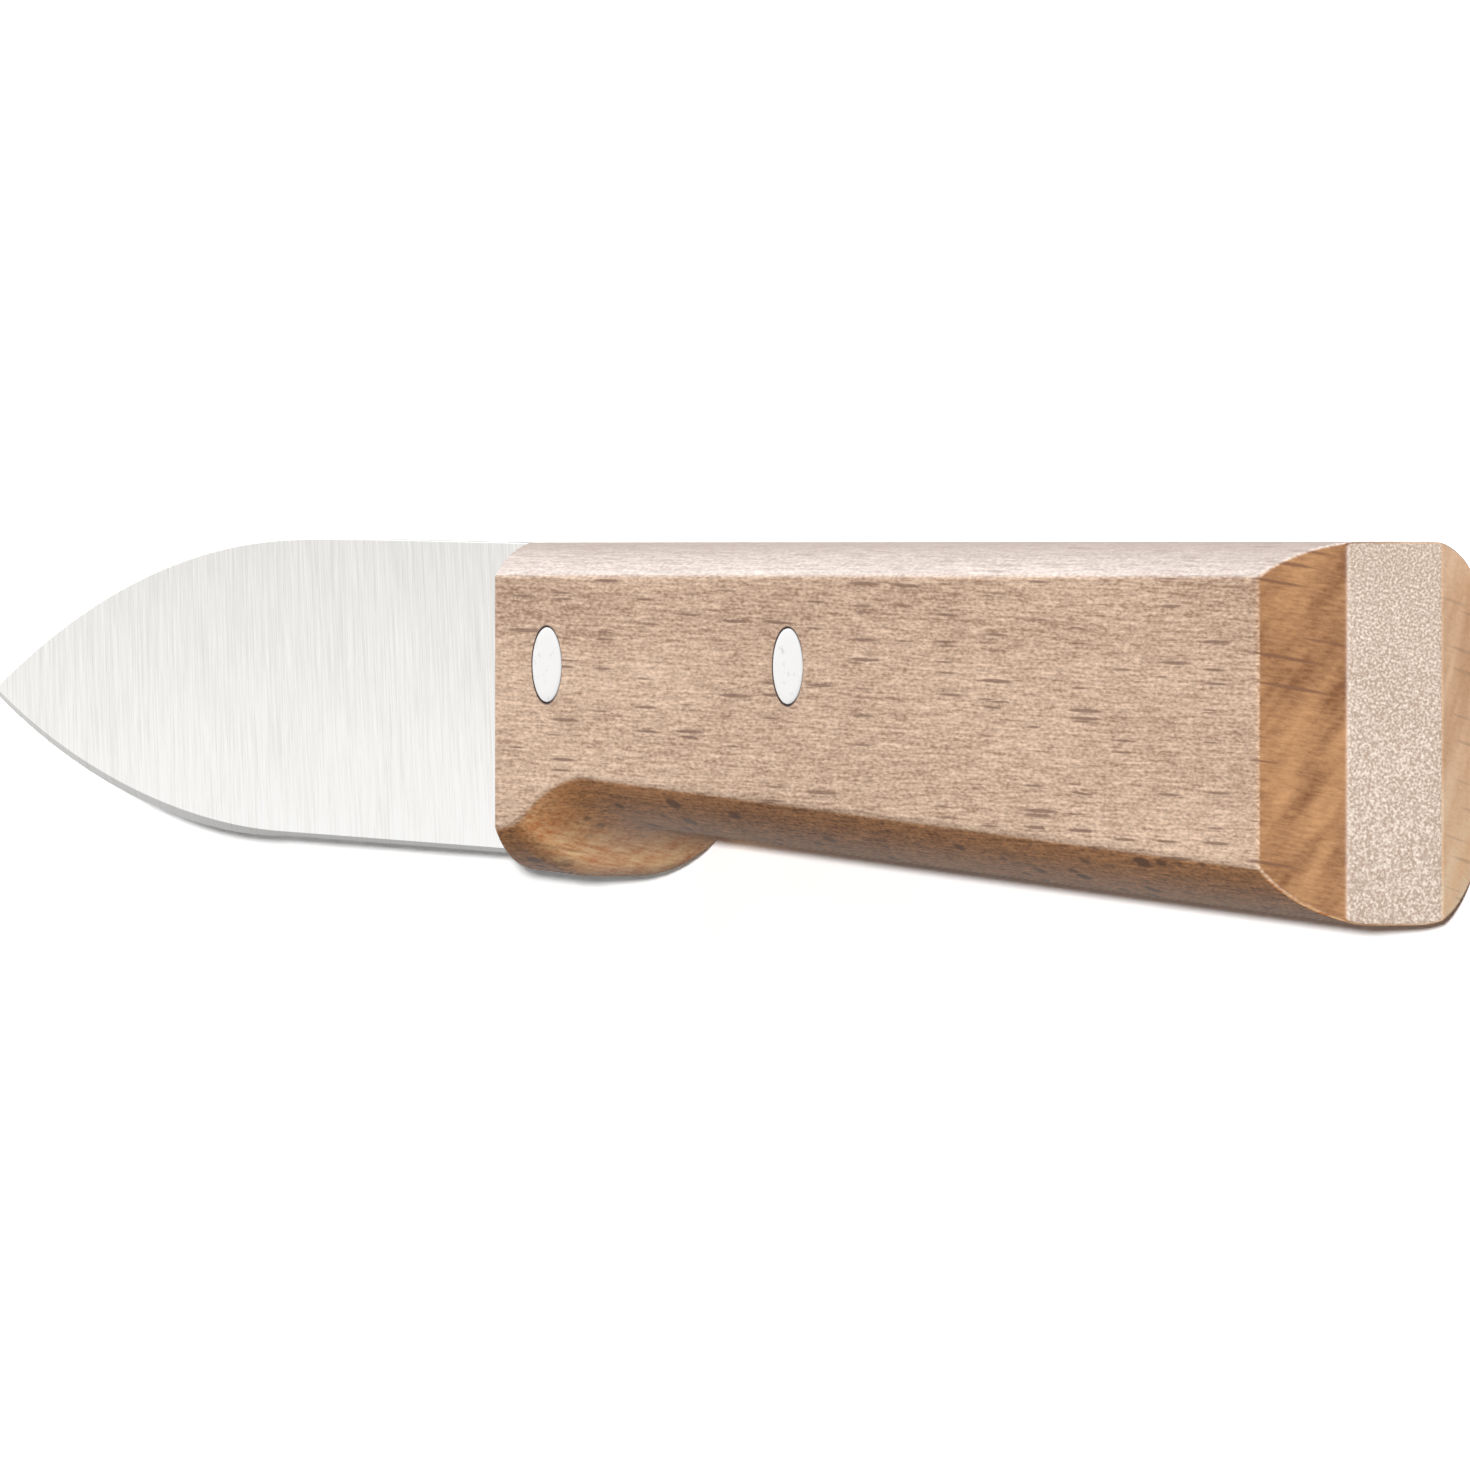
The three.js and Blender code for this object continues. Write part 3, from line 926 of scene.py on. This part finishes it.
# %% [markdown]
# Stainless steel with a satin finish. The belt that ground it ran from spine to edge, so its fine lines
# stand across the blade. They are drawn a little coarser than real ones, which would not show. The steel
# is painted a little greyer towards the spine, painted shade in its reflection. Lines in the colour and a
# faint bump show under any light, where a directional gloss would need a mesh laid out along the lines.

# %% Satin steel
LINE_SIZE = (0.2, 4.5, 5.0)
# The colour at the spine is greyer: painted shade.
STEEL_PAINTED_SHADE_AT_SPINE = colour("#EAE8E4")
STEEL_AT_EDGE = colour("#FFFDFA")
LINE_TONE = (0.89, 1.15)

steel, tree = start_material("stainless_steel_satin")
coords = add_node(tree, "ShaderNodeTexCoord", {})
place = add_node(tree, "ShaderNodeSeparateXYZ", {"Vector": coords.outputs["Object"]})
line_space = add_node(tree, "ShaderNodeVectorMath", {
    0: coords.outputs["Object"], 1: per_mm(*LINE_SIZE),
}, operation="MULTIPLY")
lines = add_node(tree, "ShaderNodeTexNoise", {
    "Vector": line_space.outputs[0], "Scale": 1.0, "Detail": 3.0, "Roughness": 0.75,
})
line_tone = add_node(tree, "ShaderNodeMapRange", {
    "Value": lines.outputs["Fac"], "From Min": 0.3, "From Max": 0.7,
    "To Min": LINE_TONE[0], "To Max": LINE_TONE[1],
})
# Painted shade: the steel is mixed greyer from the edge up to the spine.
down_blade = add_node(tree, "ShaderNodeMapRange", {
    "Value": place.outputs["Y"],
    "From Min": SPINE_HEIGHT, "From Max": SPINE_HEIGHT - HEEL_DEPTH, "To Min": 0.0, "To Max": 1.0,
})
steel_and_painted_shade = add_node(tree, "ShaderNodeMix", {
    0: down_blade.outputs[0], MIX_A: STEEL_PAINTED_SHADE_AT_SPINE, MIX_B: STEEL_AT_EDGE,
}, data_type="RGBA")
steel_colour = add_node(tree, "ShaderNodeVectorMath", {
    0: steel_and_painted_shade.outputs[MIX_RESULT], "Scale": line_tone.outputs[0],
}, operation="SCALE")
steel_bump = add_node(tree, "ShaderNodeBump", {
    "Height": lines.outputs["Fac"], "Strength": 0.08, "Distance": 0.01 * MM,
})
satin = add_node(tree, "ShaderNodeBsdfPrincipled", {
    "Base Color": steel_colour.outputs[0],
    "Metallic": 1.0,
    "Roughness": 0.3,
    "Normal": steel_bump.outputs["Normal"],
})
finish_material(tree, satin)
print("steel:", len(tree.nodes), "nodes")

# %% [markdown]
# Aluminium, ground flush with the wood and rubbed bright. A single colour would do for a metal this
# bright, but then the ends would look like holes in the picture, so a few grey smears of sanding dust
# lie on them. They are the peaks of a noise, so most of the metal stays clean.

# %% Aluminium
SMEAR_SIZE = (1.1, 0.7, 4.0)
BRIGHT_COLOUR = colour("#FFFEFD")
SMEAR_COLOUR = colour("#CFC9C2")

aluminium, tree = start_material("aluminium_ground_flush")
coords = add_node(tree, "ShaderNodeTexCoord", {})
smear_space = add_node(tree, "ShaderNodeVectorMath", {
    0: coords.outputs["Object"], 1: per_mm(*SMEAR_SIZE),
}, operation="MULTIPLY")
smears = add_node(tree, "ShaderNodeTexNoise", {
    "Vector": smear_space.outputs[0], "Scale": 1.0, "Detail": 3.0, "Roughness": 0.6,
})
smear_mask = add_node(tree, "ShaderNodeMapRange", {
    "Value": smears.outputs["Fac"], "From Min": 0.6, "From Max": 0.72, "To Min": 0.0, "To Max": 0.6,
})
rivet_colour = add_node(tree, "ShaderNodeMix", {
    0: smear_mask.outputs[0], MIX_A: BRIGHT_COLOUR, MIX_B: SMEAR_COLOUR,
}, data_type="RGBA")
bright = add_node(tree, "ShaderNodeBsdfPrincipled", {
    "Base Color": rivet_colour.outputs[MIX_RESULT],
    "Metallic": 1.0,
    "Roughness": 0.36,
})
finish_material(tree, bright)
print("aluminium:", len(tree.nodes), "nodes")

# %% [markdown]
# Each finished piece now takes the place of the solid that it was modelled on. It gets its material,
# rides on the knife's one rigid body, and the solid that it stands for is hidden.

# %% Give each piece its finish and its place in the knife
finishes = (
    (handle, beech, "handle", "handle"),
    (blade, steel, "blade", "blade"),
    (rivet_front, aluminium, "rivet_front", "rivet"),
    (rivet_rear, aluminium, "rivet_rear", "rivet"),
)
for piece, material, node, slot in finishes:
    piece.data.materials.clear()
    piece.data.materials.append(material)
    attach(piece, "root")
    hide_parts(node)
    print(piece.name, "stands for", node)

# %% [markdown]
# The floor is a pale grey card, and the knife lies on it. The card throws back onto the knife what a
# real one does, and the metal mirrors it a little lighter. To the camera alone it is over-exposed, so it
# is white close up to the knife with no more light on the knife itself, and only the deep shadow under
# the edges is left.

# %% Floor
FLOOR_SIZE = 8.0
FLOOR_GAP = 0.02 * MM
CARD_COLOUR = colour("#C8C8C8")
MIRRORED_COLOUR = colour("#D2D2D2")
OVER_EXPOSED = (2.6, 2.6, 2.6, 1.0)

bpy.ops.object.select_all(action="DESELECT")
bpy.ops.mesh.primitive_plane_add(size=FLOOR_SIZE, location=(0.0, 0.0, -FLOOR_GAP))
floor = start_piece("studio_floor")
grey_card, tree = start_material("pale_grey_card")
light_path = add_node(tree, "ShaderNodeLightPath", {})
mirrored = add_node(tree, "ShaderNodeMath", {
    0: light_path.outputs["Is Glossy Ray"], 1: light_path.outputs["Is Transmission Ray"],
}, operation="MAXIMUM")
in_mirrors = add_node(tree, "ShaderNodeMix", {
    0: mirrored.outputs[0], MIX_A: CARD_COLOUR, MIX_B: MIRRORED_COLOUR,
}, data_type="RGBA")
to_camera = add_node(tree, "ShaderNodeMix", {
    0: light_path.outputs["Is Camera Ray"], MIX_A: in_mirrors.outputs[MIX_RESULT], MIX_B: OVER_EXPOSED,
}, data_type="RGBA")
matt_card = add_node(tree, "ShaderNodeBsdfDiffuse", {"Color": to_camera.outputs[MIX_RESULT]})
finish_material(tree, matt_card)
floor.data.materials.append(grey_card)
print("floor:", FLOOR_SIZE, "m wide")

# %% [markdown]
# Soft studio light. The surround is dim, so that the lamps shape the knife, but satin steel needs
# something to mirror. So the world shows the camera plain white, and shows the steel and the sheen of
# the wood a white tent beyond the tip and grey walls elsewhere. The tent is open below the cutting edge,
# so the edge bevel, which faces that way, is grey.

# %% Surround
SURROUND = 0.04
TENT = 1.0
GREY_WALL = 0.6
TENT_OPENING = (-0.3, -0.11)
TENT_SIDES = (-0.75, -0.45)
WHITE = colour("#FFFFFF")

world = bpy.data.worlds.new("studio")
bpy.context.scene.world = world
world.use_nodes = True
tree = world.node_tree
tree.nodes.clear()
light_path = add_node(tree, "ShaderNodeLightPath", {})
direction = add_node(tree, "ShaderNodeTexCoord", {})
toward = add_node(tree, "ShaderNodeSeparateXYZ", {"Vector": direction.outputs["Generated"]})
above_edge = add_node(tree, "ShaderNodeMapRange", {
    "Value": toward.outputs["Y"], "From Min": TENT_OPENING[0], "From Max": TENT_OPENING[1],
    "To Min": SURROUND, "To Max": TENT,
}, interpolation_type="SMOOTHSTEP")
past_tent = add_node(tree, "ShaderNodeMapRange", {
    "Value": toward.outputs["X"], "From Min": TENT_SIDES[0], "From Max": TENT_SIDES[1],
    "To Min": 0.0, "To Max": 1.0,
}, interpolation_type="SMOOTHSTEP")
walls = add_node(tree, "ShaderNodeMix", {
    0: past_tent.outputs[0], NUMBER_A: above_edge.outputs[0], NUMBER_B: GREY_WALL,
}, data_type="FLOAT")
mirrored = add_node(tree, "ShaderNodeMath", {
    0: light_path.outputs["Is Glossy Ray"], 1: light_path.outputs["Is Transmission Ray"],
}, operation="MAXIMUM")
in_mirrors = add_node(tree, "ShaderNodeMix", {
    0: mirrored.outputs[0], NUMBER_A: SURROUND, NUMBER_B: walls.outputs[0],
}, data_type="FLOAT")
strength = add_node(tree, "ShaderNodeMix", {
    0: light_path.outputs["Is Camera Ray"], NUMBER_A: in_mirrors.outputs[0], NUMBER_B: TENT,
}, data_type="FLOAT")
backdrop = add_node(tree, "ShaderNodeBackground", {"Color": WHITE, "Strength": strength.outputs[0]})
add_node(tree, "ShaderNodeOutputWorld", {"Surface": backdrop.outputs["Background"]})
print("surround:", len(tree.nodes), "nodes")

# %% [markdown]
# Four lamps. Two large softboxes on the spine's side light the knife softly. They don't show in
# reflections, or the flat of the blade would turn wholly white from above. A low one beyond the tip is
# mirrored almost edge-on by the rounded top of the handle, which whitens it. A small one beside the
# camera, a little above it, throws the narrow shadow that follows the lower outline.

# %% Lamps
def add_softbox(name, direction, distance, size, power, mirrored=True):
    toward_light = Vector(direction).normalized()
    bpy.ops.object.select_all(action="DESELECT")
    bpy.ops.object.light_add(
        type="AREA",
        location=toward_light * distance,
        rotation=toward_light.to_track_quat("Z", "Y").to_euler(),
    )
    lamp = bpy.context.object
    lamp.name = name
    lamp.data.shape = "DISK"
    lamp.data.size = size
    lamp.data.energy = power
    lamp.visible_glossy = mirrored
    return lamp


add_softbox("spine_softbox", (-0.2, 0.67, 0.7), distance=1.2, size=0.9, power=9.5, mirrored=False)
add_softbox("high_softbox", (0.0, 0.6, 0.8), distance=1.2, size=0.7, power=2.8, mirrored=False)
add_softbox("low_softbox", (-0.9, 0.4, 0.15), distance=1.2, size=0.5, power=1.5)
add_softbox("camera_lamp", (0.922, 0.026, 0.42), distance=1.6, size=0.04, power=22.0)

# %% [markdown]
# The camera looks along the knife from the butt, 23 degrees off the plane of the handle's side, from
# far away, with the spine upwards. The photograph's picture is 1470 by 1471 pixels. Its horizon lies
# above the middle, so the camera dips a little towards the cutting edge.

# %% Camera
IMAGE_WIDTH = 1470
IMAGE_HEIGHT = 1471
FOCAL_PIXELS = 37413.9
HORIZON_ROW = 560.0
SENSOR = 36.0
VIEW_ANGLE = math.radians(22.81)
CAMERA_PLACE = (1.70248, 0.00674, 0.73464)
FAR_CLIP = 20.0

dip = math.atan((IMAGE_HEIGHT / 2 - HORIZON_ROW) / FOCAL_PIXELS)
right = Vector((math.sin(VIEW_ANGLE), 0.0, -math.cos(VIEW_ANGLE)))
level_back = Vector((math.cos(VIEW_ANGLE), 0.0, math.sin(VIEW_ANGLE)))
spine_up = Vector((0.0, 1.0, 0.0))
back = level_back * math.cos(dip) + spine_up * math.sin(dip)
up = back.cross(right)
camera_turn = Matrix((right, up, back)).transposed()
bpy.ops.object.select_all(action="DESELECT")
bpy.ops.object.camera_add(location=CAMERA_PLACE, rotation=camera_turn.to_euler())
camera = bpy.context.object
camera.name = "photograph_camera"
camera.data.sensor_fit = "HORIZONTAL"
camera.data.sensor_width = SENSOR
camera.data.lens = FOCAL_PIXELS / IMAGE_WIDTH * SENSOR
camera.data.clip_end = FAR_CLIP
bpy.context.scene.camera = camera
bpy.context.scene.view_settings.view_transform = "Standard"
print("lens:", round(camera.data.lens, 1), "mm, dip", round(math.degrees(dip), 3), "degrees")
